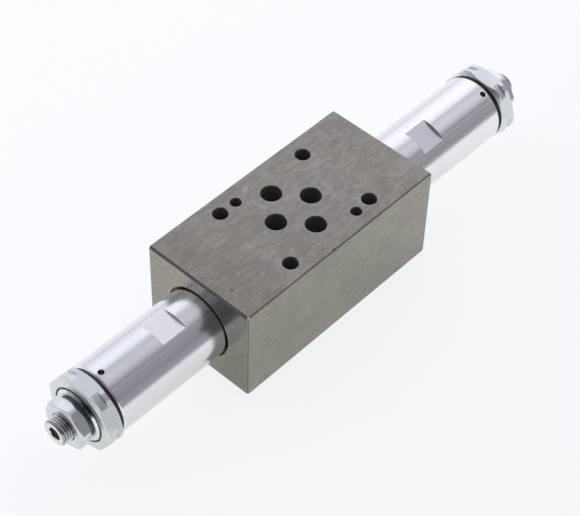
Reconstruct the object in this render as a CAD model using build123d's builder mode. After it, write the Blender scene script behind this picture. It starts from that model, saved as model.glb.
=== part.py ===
from build123d import *
from math import cos, pi, radians, tan
import os

# Hydraulic sandwich valve, size 6: a ported block that is clamped between a subplate and a
# directional valve, with an adjustable spring-loaded poppet cartridge screwed into each end.
#
# Frame: origin at the centre of the block's underside, +Z up, +X along the cartridges.
# End "a" is the +X end and serves port A, end "b" is the -X end and serves port B.
# All sizes are in millimetres.

# Block; the edges where its ends meet the top and the underside are broken more than the rest
block_length = 92.8
block_width = 46.0
block_height = 40.0
block_edge_break = 0.4
block_end_break = 0.8

# Interface pattern, from the pattern's centre on the top and bottom faces
port_positions = {
    "p": (0.0, 10.4),
    "t": (0.0, -10.4),
    "a": (8.8, 0.0),
    "b": (-8.7, 0.0),
}
port_diameter = 7.5
bolt_positions = [(21.5, -15.5), (-19.0, -16.25), (-19.0, 16.25), (21.5, 15.5)]
bolt_hole_diameter = 5.5
pin_positions = [(-11.5, 16.25), (14.0, -16.25)]
pin_hole_diameter = 4.0
pin_hole_depth = 6.0
hole_edge_break = 0.25
port_recess_diameter = 12.3
port_recess_depth = 1.4

# Housing tube, and how far each end's tube stands out of the block
tube_diameter = 26.5
tube_end_break = 0.5
reach_a = 53.6
reach_b = 46.3

# Cartridge cavity, stepped down from the tube; depths are from the block's end face
mouth_gap = 0.75
mouth_depth = 2.5
shoulder_width = 1.25
land_depth = 7.5
land_step = 1.0
thread_depth = 19.0
seat_diameter = 13.0
nose_diameter = 5.5
mouth_diameter = tube_diameter + 2 * mouth_gap
land_diameter = tube_diameter - 2 * shoulder_width
thread_diameter = land_diameter - 2 * land_step

# Tank gallery, drilled out of one cavity, through the T passage, into the other cavity
gallery_diameter = 3.6
gallery_offset = 9.0

# Housing inside: threaded spigot, guide bore for the poppet, chamber for the spring
spigot_length = 12.5
spigot_wall = 2.0
guide_diameter = 11.0
guide_length = 6.0
spring_bore_diameter = thread_diameter - 2 * spigot_wall

# Two opposite spanner flats on each tube, and the small radial hole near its outer end
flat_depth = 1.05
flats_length = 10.4
flats_start_a = 13.9
flats_start_b = 11.4
breather_diameter = 2.3
breather_from_end = 2.3

# O-rings: the cord's section, drawn as it sits, squeezed to the depth of its groove, with
# its corners rounded by a share of its narrower side
seal_rounding = 0.45
port_seal_section = 1.78
housing_seal_section = 2.4
housing_groove_depth = 1.9
housing_groove_width = 3.0
seat_seal_section = 1.6
seat_groove_depth = 1.2
seat_groove_width = 2.2
plate_seal_section = 1.9
plate_groove_depth = 1.5
plate_groove_width = 2.5
cap_seal_section = 1.78

# Valve seat and poppet
seat_length = 10.0
seat_bore = 5.0
seat_countersink = 0.5
seat_end_break = 0.6
cone_half_angle = 30.0
cone_nose_diameter = 2.4
flute_depth = 0.7
flange_gap = 0.8
flange_thickness = 2.3
flange_standoff = 1.0

# Main spring, ends ground flat
spring_wire = 2.6
spring_gap = 0.9
spring_coils_a = 7.5
spring_coils_b = 6.5
spring_seat_length = 3.5
spring_seat_break = 0.6

# Spring plate: a piston between the spring and the spindle, how far it can be run out from its
# middle setting, and how far out each one stands now
plate_length = 6.0
plate_pocket_depth = 1.5
adjust_out = 4.0
set_out_a = 0.6
set_out_b = 0.0

# End cap: hexagon, then the groove turned across its corners, neck, thread and recess
cap_across_flats = 27.0
cap_corner_trim = 0.69
cap_face_inset = 0.3
cap_hexagon_length = 6.6
cap_groove_bite = 0.7
cap_groove_width = 2.8
cap_groove_land = 0.2
cap_neck_inset = 2.25
cap_neck_length = 1.3
cap_wall = 3.25
cap_thread_length = 9.0
cap_thread_break = 0.8
cap_relief_step = 1.2
cap_relief_width = 4.0
cap_recess_depth = 0.8

# Bevelled washer sunk in the cap's face, and the black sealing ring on it
washer_diameter = 20.4
washer_bevel = 0.9
washer_proud = 0.9
nut_seal_thickness = 0.9
nut_seal_rounding = 0.3

# Lock nut
nut_across_flats = 17.0
nut_corner_trim = 0.315
nut_length = 4.9
nut_back_inset = 0.5
nut_back_bevel = 1.4
nut_face_inset = 0.6
nut_countersink = 0.35
hexagon_bevel_angle = 30.0

# Adjusting spindle
spindle_diameter = 10.0
spindle_end_break = 0.6
spindle_out = 3.7
spindle_tip_diameter = 7.0
spindle_tip_length = 3.5
spindle_tip_rounding = 1.2
socket_across_flats = 5.0
socket_depth = 5.0
socket_edge_break = 0.35

# Clearances
recess_gap = 0.05
thread_gap = 0.05
guide_gap = 0.03
seat_gap = 0.03
loose_gap = 0.3
stop_gap = 0.3

# Angles about the axis, seen from outside that end: 0 is to the right and 90 is up
flats_angle = {"a": 110.0, "b": 85.5}
breather_angle = {"a": 114.9, "b": 87.0}
cap_corner_angle = {"a": 7.7, "b": 55.6}
nut_corner_angle = {"a": 52.0, "b": 11.0}
socket_corner_angle = {"a": 20.0, "b": 5.0}

direction = {"a": 1, "b": -1}
reach = {"a": reach_a, "b": reach_b}
flats_start = {"a": flats_start_a, "b": flats_start_b}
spring_coils = {"a": spring_coils_a, "b": spring_coils_b}
set_out = {"a": set_out_a, "b": set_out_b}

# Distances along a cartridge's axis from the middle of the valve
axis_height = block_height / 2
end_face = block_length / 2
mouth_floor = end_face - mouth_depth
land_floor = end_face - land_depth
thread_floor = end_face - thread_depth
seat_top = thread_floor
seat_floor = seat_top - seat_length
spigot_end = mouth_floor - spigot_length
guide_end = spigot_end + guide_length
flange_start = guide_end + flange_standoff
spring_start = flange_start + flange_thickness
tube_end = {end: end_face + reach[end] for end in reach}
cap_back = {end: tube_end[end] + cap_neck_length for end in reach}
cap_face = {end: cap_back[end] + cap_hexagon_length for end in reach}
washer_face = {end: cap_face[end] + washer_proud for end in reach}
nut_back = {end: washer_face[end] + nut_seal_thickness for end in reach}
nut_face = {end: nut_back[end] + nut_length for end in reach}
spindle_end = {end: nut_face[end] + spindle_out + set_out[end] for end in reach}

# The plate, run right out, stops just short of the end cap's thread.
bore_end = {end: tube_end[end] - cap_thread_length - loose_gap for end in reach}
plate_back = {end: bore_end[end] - stop_gap - adjust_out + set_out[end] for end in reach}
plate_front = {end: plate_back[end] - plate_length for end in reach}

# Diameters that follow from the bores and hexagons they belong to
flats_across = tube_diameter - 2 * flat_depth
flutes_across = guide_diameter - 2 * flute_depth
flange_diameter = spring_bore_diameter - 2 * flange_gap
spring_mean_diameter = spring_bore_diameter - 2 * spring_gap - spring_wire
spring_seat_diameter = spring_mean_diameter - spring_wire - 2 * loose_gap
cap_corner_diameter = cap_across_flats / cos(pi / 6) - 2 * cap_corner_trim
cap_face_diameter = cap_across_flats - 2 * cap_face_inset
cap_groove_diameter = cap_corner_diameter - 2 * cap_groove_bite
cap_neck_diameter = tube_diameter - 2 * cap_neck_inset
cap_thread_diameter = tube_diameter - 2 * cap_wall
cap_relief_diameter = cap_thread_diameter - 2 * cap_relief_step
washer_face_diameter = washer_diameter - 2 * washer_bevel
nut_corner_diameter = nut_across_flats / cos(pi / 6) - 2 * nut_corner_trim
nut_back_diameter = nut_across_flats - 2 * nut_back_inset
nut_face_diameter = nut_across_flats - 2 * nut_face_inset


def save(builder, node):
    """Label a finished piece and write it."""
    builder.part.label = node
    export_step(builder.part, f"parts/{node}.step")


def cartridge_axis(end):
    return Axis((0, 0, axis_height), (direction[end], 0, 0))


def profile_plane(end):
    """Plane through the cartridge's axis: x runs outwards along it, y is the radius."""
    way = direction[end]
    return Plane(origin=(0, 0, axis_height), x_dir=(way, 0, 0), z_dir=(0, -way, 0))


def cross_plane(end, distance):
    """Plane square to the cartridge's axis, facing outwards."""
    way = direction[end]
    return Plane(origin=(way * distance, 0, axis_height), x_dir=(0, way, 0), z_dir=(way, 0, 0))


def squeezed_width(section, height):
    """Width of a round cord of rubber once it is flattened to a height."""
    return pi * section**2 / 4 / height


def bevel_length(corner_diameter, face_diameter):
    """Length of the turned bevel that takes a hexagon's corners down to a face circle."""
    return (corner_diameter - face_diameter) / 2 * tan(radians(hexagon_bevel_angle))


def make_block():
    """Block with its passages, bolt holes, cavities and the tank gallery that joins them."""
    with BuildPart() as block:
        Box(
            block_length,
            block_width,
            block_height,
            align=(Align.CENTER, Align.CENTER, Align.MIN),
        )
        chamfer(block.edges().filter_by(Axis.Y), block_end_break)
        sides = block.faces().filter_by(Axis.Y)
        chamfer(sides.edges(), block_edge_break)

        with BuildSketch(Plane.XY):
            with Locations(*port_positions.values()):
                Circle(port_diameter / 2)
            with Locations(*bolt_positions):
                Circle(bolt_hole_diameter / 2)
        extrude(amount=block_height, mode=Mode.SUBTRACT)

        with BuildSketch(Plane.XY.offset(block_height)):
            with Locations(*pin_positions):
                Circle(pin_hole_diameter / 2)
        extrude(amount=-pin_hole_depth, mode=Mode.SUBTRACT)

        top_rims = block.edges().filter_by(GeomType.CIRCLE).group_by(Axis.Z)[-1]
        chamfer(top_rims, hole_edge_break)

        with BuildSketch(Plane.XY):
            with Locations(*port_positions.values()):
                Circle(port_recess_diameter / 2)
        extrude(amount=port_recess_depth, mode=Mode.SUBTRACT)

        for end in direction:
            port_distance = abs(port_positions[end][0])
            with BuildSketch(profile_plane(end)):
                with BuildLine():
                    Polyline(
                        (port_distance, 0),
                        (port_distance, nose_diameter / 2),
                        (seat_floor, nose_diameter / 2),
                        (seat_floor, seat_diameter / 2),
                        (thread_floor, seat_diameter / 2),
                        (thread_floor, thread_diameter / 2),
                        (land_floor, thread_diameter / 2),
                        (land_floor, land_diameter / 2),
                        (mouth_floor, land_diameter / 2),
                        (mouth_floor, mouth_diameter / 2),
                        (end_face, mouth_diameter / 2),
                        (end_face, 0),
                        close=True,
                    )
                make_face()
            revolve(axis=cartridge_axis(end), mode=Mode.SUBTRACT)

        with BuildSketch(Plane.YZ.offset(-thread_floor)):
            with Locations((-gallery_offset, axis_height)):
                Circle(gallery_diameter / 2)
        extrude(amount=2 * thread_floor, mode=Mode.SUBTRACT)
    return block


def make_port_seal(port):
    """O-ring that fills its recess down to the underside."""
    width = squeezed_width(port_seal_section, port_recess_depth)
    middle_radius = (port_recess_diameter - width) / 2 - recess_gap
    rounding = min(width, port_recess_depth) * seal_rounding
    x, y = port_positions[port]
    with BuildPart() as seal:
        with BuildSketch(Plane(origin=(x, y, 0), x_dir=(1, 0, 0), z_dir=(0, -1, 0))):
            with Locations((middle_radius, port_recess_depth / 2)):
                RectangleRounded(width, port_recess_depth, rounding)
        revolve(axis=Axis((x, y, 0), (0, 0, 1)))
    return seal


def make_ring_seal(end, start, length, inner_diameter, outer_diameter):
    """O-ring about the cartridge's axis, squeezed between two diameters or two faces."""
    width = (outer_diameter - inner_diameter) / 2
    with BuildPart() as seal:
        with BuildSketch(profile_plane(end)):
            with Locations((start + length / 2, (inner_diameter + outer_diameter) / 4)):
                RectangleRounded(length, width, min(length, width) * seal_rounding)
        revolve(axis=cartridge_axis(end))
    return seal


def make_groove_seal(end, groove_start, groove_width, bore_diameter, groove_depth, section):
    """O-ring on the floor of a turned groove, out to the bore that it seals."""
    length = squeezed_width(section, groove_depth)
    start = groove_start + (groove_width - length) / 2
    return make_ring_seal(end, start, length, bore_diameter - 2 * groove_depth, bore_diameter)


land_start = land_floor + loose_gap
housing_groove_start = (land_start + mouth_floor - housing_groove_width) / 2
seat_groove_start = seat_floor + (seat_length - seat_groove_width) / 2
plate_groove_start = {
    end: plate_front[end] + (plate_length - plate_groove_width) / 2 for end in reach
}


def make_housing(end):
    """Tube with a threaded spigot, a guide bore for the poppet and a chamber for the spring."""
    land_radius = land_diameter / 2 - thread_gap
    groove_radius = land_diameter / 2 - housing_groove_depth
    groove_end = housing_groove_start + housing_groove_width
    with BuildPart() as housing:
        with BuildSketch(profile_plane(end)):
            with BuildLine():
                Polyline(
                    (spigot_end, guide_diameter / 2),
                    (spigot_end, thread_diameter / 2 - thread_gap),
                    (land_start, thread_diameter / 2 - thread_gap),
                    (land_start, land_radius),
                    (housing_groove_start, land_radius),
                    (housing_groove_start, groove_radius),
                    (groove_end, groove_radius),
                    (groove_end, land_radius),
                    (mouth_floor, land_radius),
                    (mouth_floor, tube_diameter / 2),
                    (tube_end[end], tube_diameter / 2),
                    (tube_end[end], cap_thread_diameter / 2 + thread_gap),
                    (bore_end[end], cap_thread_diameter / 2 + thread_gap),
                    (bore_end[end], spring_bore_diameter / 2),
                    (guide_end, spring_bore_diameter / 2),
                    (guide_end, guide_diameter / 2),
                    close=True,
                )
            make_face()
        revolve(axis=cartridge_axis(end))

        end_rims = housing.edges().group_by(cartridge_axis(end))[-1]
        chamfer(end_rims.sort_by(SortBy.RADIUS)[-1], tube_end_break)
        spigot_rims = housing.edges().group_by(cartridge_axis(end))[0]
        chamfer(spigot_rims.sort_by(SortBy.RADIUS)[-1], tube_end_break)

        with BuildSketch(cross_plane(end, end_face + flats_start[end])):
            with PolarLocations((flats_across + tube_diameter) / 2, 2, flats_angle[end]):
                Rectangle(tube_diameter, tube_diameter)
        extrude(amount=flats_length, mode=Mode.SUBTRACT)

        hole_plane = cross_plane(end, tube_end[end] - breather_from_end)
        outwards = hole_plane.x_dir.rotate(cartridge_axis(end), breather_angle[end])
        with BuildSketch(Plane(origin=hole_plane.origin, z_dir=outwards)):
            Circle(breather_diameter / 2)
        extrude(amount=tube_diameter, mode=Mode.SUBTRACT)
    return housing


def make_seat(end):
    """Seat pressed into the block; its countersunk outer edge is what the cone closes on."""
    outer_radius = seat_diameter / 2
    groove_radius = outer_radius - seat_groove_depth
    groove_end = seat_groove_start + seat_groove_width
    with BuildPart() as seat:
        with BuildSketch(profile_plane(end)):
            with BuildLine():
                Polyline(
                    (seat_floor, seat_bore / 2),
                    (seat_floor, outer_radius - seat_end_break),
                    (seat_floor + seat_end_break, outer_radius),
                    (seat_groove_start, outer_radius),
                    (seat_groove_start, groove_radius),
                    (groove_end, groove_radius),
                    (groove_end, outer_radius),
                    (seat_top, outer_radius),
                    (seat_top, seat_bore / 2 + seat_countersink),
                    (seat_top - seat_countersink, seat_bore / 2),
                    close=True,
                )
            make_face()
        revolve(axis=cartridge_axis(end))
    return seat


def make_poppet(end):
    """Cone, fluted guide, spring flange and centring spigot, in one turned piece."""
    slope = tan(radians(cone_half_angle))
    edge = seat_top - seat_countersink
    edge_radius = seat_bore / 2 - seat_gap
    nose_radius = cone_nose_diameter / 2
    nose = edge - (edge_radius - nose_radius) / slope
    guide_radius = guide_diameter / 2 - guide_gap
    cone_end = edge + (guide_radius - edge_radius) / slope
    seat_radius = spring_seat_diameter / 2
    spigot_tip = spring_start + spring_seat_length
    with BuildPart() as poppet:
        with BuildSketch(profile_plane(end)):
            with BuildLine():
                Polyline(
                    (nose, 0),
                    (nose, nose_radius),
                    (cone_end, guide_radius),
                    (flange_start, guide_radius),
                    (flange_start, flange_diameter / 2),
                    (spring_start, flange_diameter / 2),
                    (spring_start, seat_radius),
                    (spigot_tip - spring_seat_break, seat_radius),
                    (spigot_tip, seat_radius - spring_seat_break),
                    (spigot_tip, 0),
                    close=True,
                )
            make_face()
        revolve(axis=cartridge_axis(end))

        # Two flats on the guide drain the spring chamber to the tank gallery.
        with BuildSketch(cross_plane(end, seat_top)):
            with PolarLocations((flutes_across + guide_diameter) / 2, 2):
                Rectangle(guide_diameter, guide_diameter)
        extrude(amount=flange_start - seat_top, mode=Mode.SUBTRACT)
    return poppet


def make_spring(end):
    """Round wire wound to the room between flange and plate, then ground flat at both ends."""
    room = plate_front[end] - spring_start
    pitch = (room + spring_wire) / spring_coils[end]
    wound_start = cross_plane(end, spring_start - spring_wire / 2)
    with BuildPart() as spring:
        with BuildLine() as coil:
            Helix(
                pitch=pitch,
                height=room + spring_wire,
                radius=spring_mean_diameter / 2,
                center=wound_start.origin,
                direction=wound_start.z_dir,
            )
        with BuildSketch(Plane(origin=coil.line @ 0, z_dir=coil.line % 0)):
            Circle(spring_wire / 2)
        sweep(is_frenet=True)
        split(bisect_by=cross_plane(end, spring_start + seat_gap), keep=Keep.TOP)
        split(bisect_by=cross_plane(end, plate_front[end] - seat_gap), keep=Keep.BOTTOM)
    return spring


def make_spring_plate(end):
    """Piston with a sealing groove, a spigot for the spring and a pocket for the spindle."""
    outer_radius = spring_bore_diameter / 2 - guide_gap
    groove_radius = spring_bore_diameter / 2 - guide_gap - plate_groove_depth
    groove_start = plate_groove_start[end]
    groove_end = groove_start + plate_groove_width
    seat_radius = spring_seat_diameter / 2
    spigot_tip = plate_front[end] - spring_seat_length
    pocket_floor = plate_back[end] - plate_pocket_depth
    pocket_radius = spindle_tip_diameter / 2 + loose_gap
    with BuildPart() as plate:
        with BuildSketch(profile_plane(end)):
            with BuildLine():
                Polyline(
                    (spigot_tip, 0),
                    (spigot_tip, seat_radius - spring_seat_break),
                    (spigot_tip + spring_seat_break, seat_radius),
                    (plate_front[end], seat_radius),
                    (plate_front[end], outer_radius),
                    (groove_start, outer_radius),
                    (groove_start, groove_radius),
                    (groove_end, groove_radius),
                    (groove_end, outer_radius),
                    (plate_back[end], outer_radius),
                    (plate_back[end], pocket_radius),
                    (pocket_floor, pocket_radius),
                    (pocket_floor, 0),
                    close=True,
                )
            make_face()
        revolve(axis=cartridge_axis(end))
    return plate


def make_end_cap(end):
    """Hexagon cap: bevelled at both faces, with a turned groove that only cuts its corners.

    The groove lies near the face of one cap and near the tube of the other.
    """
    bevel = bevel_length(cap_corner_diameter, cap_face_diameter)
    back = cap_back[end]
    face = cap_face[end]
    corner_radius = cap_corner_diameter / 2
    groove_start = {
        "a": back + bevel + cap_groove_land,
        "b": face - bevel - cap_groove_land - cap_groove_width,
    }[end]
    groove_end = groove_start + cap_groove_width
    bore_radius = spindle_diameter / 2 + thread_gap
    recess_radius = washer_diameter / 2 + loose_gap
    thread_end = tube_end[end] - cap_thread_length
    relief_start = tube_end[end] - cap_relief_width
    with BuildPart() as cap:
        with BuildSketch(cross_plane(end, back)):
            RegularPolygon(
                cap_across_flats / 2,
                6,
                major_radius=False,
                rotation=cap_corner_angle[end],
            )
        extrude(amount=cap_hexagon_length)
        with BuildSketch(profile_plane(end)):
            with BuildLine():
                Polyline(
                    (back, 0),
                    (back, cap_face_diameter / 2),
                    (back + bevel, corner_radius),
                    (groove_start, corner_radius),
                    (groove_start, cap_groove_diameter / 2),
                    (groove_end, cap_groove_diameter / 2),
                    (groove_end, corner_radius),
                    (face - bevel, corner_radius),
                    (face, cap_face_diameter / 2),
                    (face, 0),
                    close=True,
                )
            make_face()
        revolve(axis=cartridge_axis(end), mode=Mode.INTERSECT)

        with BuildSketch(profile_plane(end)):
            with BuildLine():
                Polyline(
                    (thread_end, 0),
                    (thread_end, cap_thread_diameter / 2 - cap_thread_break),
                    (thread_end + cap_thread_break, cap_thread_diameter / 2),
                    (relief_start, cap_thread_diameter / 2),
                    (relief_start, cap_relief_diameter / 2),
                    (tube_end[end], cap_relief_diameter / 2),
                    (tube_end[end], cap_neck_diameter / 2),
                    (back, cap_neck_diameter / 2),
                    (back, 0),
                    close=True,
                )
            make_face()
        revolve(axis=cartridge_axis(end))

        with BuildSketch(profile_plane(end)):
            with BuildLine():
                Polyline(
                    (thread_end, 0),
                    (thread_end, bore_radius),
                    (face - cap_recess_depth, bore_radius),
                    (face - cap_recess_depth, recess_radius),
                    (face, recess_radius),
                    (face, 0),
                    close=True,
                )
            make_face()
        revolve(axis=cartridge_axis(end), mode=Mode.SUBTRACT)
    return cap


def make_face_washer(end):
    """Washer sunk in the cap's face, bevelled where it stands proud."""
    bore_radius = spindle_diameter / 2 + loose_gap
    with BuildPart() as washer:
        with BuildSketch(profile_plane(end)):
            with BuildLine():
                Polyline(
                    (cap_face[end] - cap_recess_depth, bore_radius),
                    (cap_face[end] - cap_recess_depth, washer_diameter / 2),
                    (cap_face[end], washer_diameter / 2),
                    (washer_face[end], washer_face_diameter / 2),
                    (washer_face[end], bore_radius),
                    close=True,
                )
            make_face()
        revolve(axis=cartridge_axis(end))
    return washer


def make_nut_seal(end):
    """Flat sealing ring between the washer and the lock nut, rounded outside."""
    with BuildPart() as ring:
        with BuildSketch(cross_plane(end, washer_face[end])):
            Circle(nut_back_diameter / 2)
            Circle(spindle_diameter / 2 + loose_gap, mode=Mode.SUBTRACT)
        extrude(amount=nut_seal_thickness)
        outer_rims = ring.edges().filter_by(GeomType.CIRCLE).sort_by(SortBy.RADIUS)[-2:]
        fillet(outer_rims, nut_seal_rounding)
    return ring


def make_lock_nut(end):
    """Thin hexagon nut, bevelled steeply behind and lightly in front."""
    bevel = bevel_length(nut_corner_diameter, nut_face_diameter)
    back = nut_back[end]
    face = nut_face[end]
    bore_radius = spindle_diameter / 2 + thread_gap
    with BuildPart() as nut:
        with BuildSketch(cross_plane(end, back)):
            RegularPolygon(
                nut_across_flats / 2,
                6,
                major_radius=False,
                rotation=nut_corner_angle[end],
            )
        extrude(amount=nut_length)
        with BuildSketch(profile_plane(end)):
            with BuildLine():
                Polyline(
                    (back, bore_radius + nut_countersink),
                    (back, nut_back_diameter / 2),
                    (back + nut_back_bevel, nut_corner_diameter / 2),
                    (face - bevel, nut_corner_diameter / 2),
                    (face, nut_face_diameter / 2),
                    (face, bore_radius + nut_countersink),
                    (face - nut_countersink, bore_radius),
                    (back + nut_countersink, bore_radius),
                    close=True,
                )
            make_face()
        revolve(axis=cartridge_axis(end), mode=Mode.INTERSECT)
    return nut


def make_spindle(end):
    """Adjusting spindle: plain tip on the spring plate, thread, and a hexagon socket outside."""
    tip = plate_back[end] - plate_pocket_depth + seat_gap
    tip_radius = spindle_tip_diameter / 2
    thread_radius = spindle_diameter / 2
    with BuildPart() as spindle:
        with BuildSketch(cross_plane(end, tip)):
            Circle(tip_radius)
        extrude(amount=spindle_tip_length)
        fillet(spindle.edges().group_by(cartridge_axis(end))[0], spindle_tip_rounding)
        with BuildSketch(cross_plane(end, tip + spindle_tip_length)):
            Circle(thread_radius)
        extrude(amount=spindle_end[end] - tip - spindle_tip_length)
        rims = spindle.edges().filter_by(GeomType.CIRCLE).sort_by(SortBy.RADIUS)[-2:]
        chamfer(rims, spindle_end_break)

        with BuildSketch(cross_plane(end, spindle_end[end])):
            RegularPolygon(
                socket_across_flats / 2,
                6,
                major_radius=False,
                rotation=socket_corner_angle[end],
            )
        extrude(amount=-socket_depth, mode=Mode.SUBTRACT)
        mouth_radius = socket_across_flats / 2 + socket_edge_break
        with BuildSketch(profile_plane(end)):
            with BuildLine():
                Polyline(
                    (spindle_end[end] - mouth_radius, 0),
                    (spindle_end[end], mouth_radius),
                    (spindle_end[end], 0),
                    close=True,
                )
            make_face()
        revolve(axis=cartridge_axis(end), mode=Mode.SUBTRACT)
    return spindle


os.makedirs("parts", exist_ok=True)

save(make_block(), "valve_block")
for port in port_positions:
    save(make_port_seal(port), f"port_seal_{port}")

for end in direction:
    save(make_housing(end), f"housing_{end}")
    save(
        make_groove_seal(
            end,
            housing_groove_start,
            housing_groove_width,
            land_diameter,
            housing_groove_depth,
            housing_seal_section,
        ),
        f"housing_seal_{end}",
    )
    save(make_seat(end), f"seat_{end}")
    save(
        make_groove_seal(
            end,
            seat_groove_start,
            seat_groove_width,
            seat_diameter,
            seat_groove_depth,
            seat_seal_section,
        ),
        f"seat_seal_{end}",
    )
    save(make_poppet(end), f"poppet_{end}")
    save(make_spring(end), f"spring_{end}")
    save(make_spring_plate(end), f"spring_plate_{end}")
    save(
        make_groove_seal(
            end,
            plate_groove_start[end],
            plate_groove_width,
            spring_bore_diameter - 2 * guide_gap,
            plate_groove_depth,
            plate_seal_section,
        ),
        f"plate_seal_{end}",
    )
    save(make_end_cap(end), f"end_cap_{end}")
    save(
        make_ring_seal(
            end,
            tube_end[end],
            cap_neck_length,
            cap_neck_diameter,
            cap_neck_diameter + 2 * squeezed_width(cap_seal_section, cap_neck_length),
        ),
        f"cap_seal_{end}",
    )
    save(make_face_washer(end), f"face_washer_{end}")
    save(make_nut_seal(end), f"nut_seal_{end}")
    save(make_lock_nut(end), f"lock_nut_{end}")
    save(make_spindle(end), f"spindle_{end}")
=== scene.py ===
# %% [markdown]
# # Hydraulic sandwich valve
# A ground steel block is clamped between a subplate and a directional valve. Into each end of it
# screws a bright plated cartridge: a tube, a hexagon cap, a lock nut and a threaded spindle.
# The shapes come from a CAD model, which this script loads as a fixed frame. What is left for
# Blender is the light, the camera, the screw threads, springs cut in halves, and the finish
# of every piece.

from math import atan2, cos, degrees, pi, radians, sin

import bmesh
import bpy
from mathutils import Matrix, Vector


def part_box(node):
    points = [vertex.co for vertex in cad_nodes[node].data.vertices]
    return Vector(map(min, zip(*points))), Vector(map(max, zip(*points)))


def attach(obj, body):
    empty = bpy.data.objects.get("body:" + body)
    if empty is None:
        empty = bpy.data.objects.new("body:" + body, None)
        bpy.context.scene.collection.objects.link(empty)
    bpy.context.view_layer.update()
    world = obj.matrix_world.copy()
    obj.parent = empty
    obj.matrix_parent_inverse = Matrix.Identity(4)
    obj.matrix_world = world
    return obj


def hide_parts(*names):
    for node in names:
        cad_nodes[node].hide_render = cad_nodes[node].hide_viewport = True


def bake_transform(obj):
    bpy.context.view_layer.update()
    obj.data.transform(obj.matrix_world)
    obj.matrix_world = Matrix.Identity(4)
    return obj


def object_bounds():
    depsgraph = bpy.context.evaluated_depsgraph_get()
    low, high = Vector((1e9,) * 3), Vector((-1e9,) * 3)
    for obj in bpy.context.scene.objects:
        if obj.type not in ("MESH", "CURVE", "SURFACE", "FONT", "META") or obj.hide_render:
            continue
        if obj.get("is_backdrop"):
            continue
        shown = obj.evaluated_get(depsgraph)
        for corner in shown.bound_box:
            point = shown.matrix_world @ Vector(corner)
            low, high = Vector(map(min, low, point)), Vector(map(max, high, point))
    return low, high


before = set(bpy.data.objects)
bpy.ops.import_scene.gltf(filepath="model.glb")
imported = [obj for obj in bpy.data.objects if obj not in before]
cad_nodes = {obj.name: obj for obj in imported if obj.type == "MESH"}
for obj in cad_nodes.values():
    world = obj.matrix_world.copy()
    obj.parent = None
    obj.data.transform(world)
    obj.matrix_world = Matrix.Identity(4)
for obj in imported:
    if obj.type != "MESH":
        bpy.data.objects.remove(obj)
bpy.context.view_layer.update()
print("pieces from CAD:", len(cad_nodes))

# %% [markdown]
# ## Camera
# The product photographer stood above the block's near corner and used a long lens, so the two
# ends of the valve look almost equally large. A camera can be set from an angle and a distance,
# but here its place and its three directions were worked out from the port pattern, whose real
# sizes are known. They go straight into the camera's matrix: right, up, back and place.


# %% Camera
def add_object(name, data):
    """Put a mesh or a camera into the scene as an object."""
    piece = bpy.data.objects.new(name, data)
    bpy.context.scene.collection.objects.link(piece)
    return piece


camera_place = Vector((-0.307548, -0.270894, 0.466913))
camera_right = Vector((0.679979, -0.732900, 0.022039))
camera_up = Vector((0.533165, 0.514854, 0.671313))
camera_back = camera_right.cross(camera_up)

camera_data = bpy.data.cameras.new("camera")
camera_data.sensor_fit = "HORIZONTAL"
camera_data.sensor_width = 36.0
camera_data.lens = 107.78
camera_data.clip_start = 0.01
camera_data.clip_end = 50.0
camera = add_object("camera", camera_data)
camera.matrix_world = Matrix(
    (
        (camera_right.x, camera_up.x, camera_back.x, camera_place.x),
        (camera_right.y, camera_up.y, camera_back.y, camera_place.y),
        (camera_right.z, camera_up.z, camera_back.z, camera_place.z),
        (0, 0, 0, 1),
    )
)
bpy.context.scene.camera = camera
print("camera looks down at", round(degrees(atan2(camera_back.z, camera_back.xy.length)), 1), "degrees")

# %% [markdown]
# ## Small helpers for node trees
# A material in Blender is a tree of nodes. A few short functions keep the cells below readable.
# The first three add a node, join an output to an input, and give an input whatever it needs:
# a number, a vector, a colour or another node's output.


# %% Node helpers
def add_node(tree, kind, **values):
    """Add a node; a value whose name is a socket sets the socket, any other sets a property."""
    new = tree.nodes.new(kind)
    for name, value in values.items():
        socket = new.inputs.get(name.replace("_", " "))
        if socket is not None and not hasattr(new, name):
            socket.default_value = value
        else:
            setattr(new, name, value)
    return new


def join(tree, output, target):
    tree.links.new(output, target)


def feed(tree, value, socket):
    """Set a socket to a number, a vector or a colour, or join another node's output to it."""
    if isinstance(value, tuple) and socket.type == "RGBA":
        socket.default_value = (*value, 1)
    elif isinstance(value, (int, float, tuple)):
        socket.default_value = value
    else:
        join(tree, value, socket)


print("node helpers ready")

# %% [markdown]
# The next ones do sums: on numbers, on vectors, and from one range to another. Nearly every mask
# below is a smooth step, which says where on a piece an effect begins and where it is full.


# %% Sums
def math_node(tree, operation, first, second=None, clamp=False):
    """A Math node whose inputs are numbers or other nodes' outputs."""
    new = add_node(tree, "ShaderNodeMath", operation=operation, use_clamp=clamp)
    feed(tree, first, new.inputs[0])
    if second is not None:
        feed(tree, second, new.inputs[1])
    return new.outputs[0]


def multiply(tree, first, second):
    return math_node(tree, "MULTIPLY", first, second)


def vector_number(tree, operation, first, second):
    """A number from two vectors, such as their distance or their dot product."""
    new = add_node(tree, "ShaderNodeVectorMath", operation=operation)
    feed(tree, first, new.inputs[0])
    feed(tree, second, new.inputs[1])
    return new.outputs["Value"]


def split(tree, vector):
    """The X, Y and Z of a vector."""
    parts = add_node(tree, "ShaderNodeSeparateXYZ")
    join(tree, vector, parts.inputs[0])
    return parts.outputs["X"], parts.outputs["Y"], parts.outputs["Z"]


def span(tree, value, low, high, at_low=0.0, at_high=1.0, course="LINEAR"):
    """A number that runs from at_low to at_high as value runs from low to high."""
    new = add_node(tree, "ShaderNodeMapRange", interpolation_type=course)
    titles = ("Value", "From Min", "From Max", "To Min", "To Max")
    for title, number in zip(titles, (value, low, high, at_low, at_high)):
        feed(tree, number, new.inputs[title])
    return new.outputs["Result"]


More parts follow.
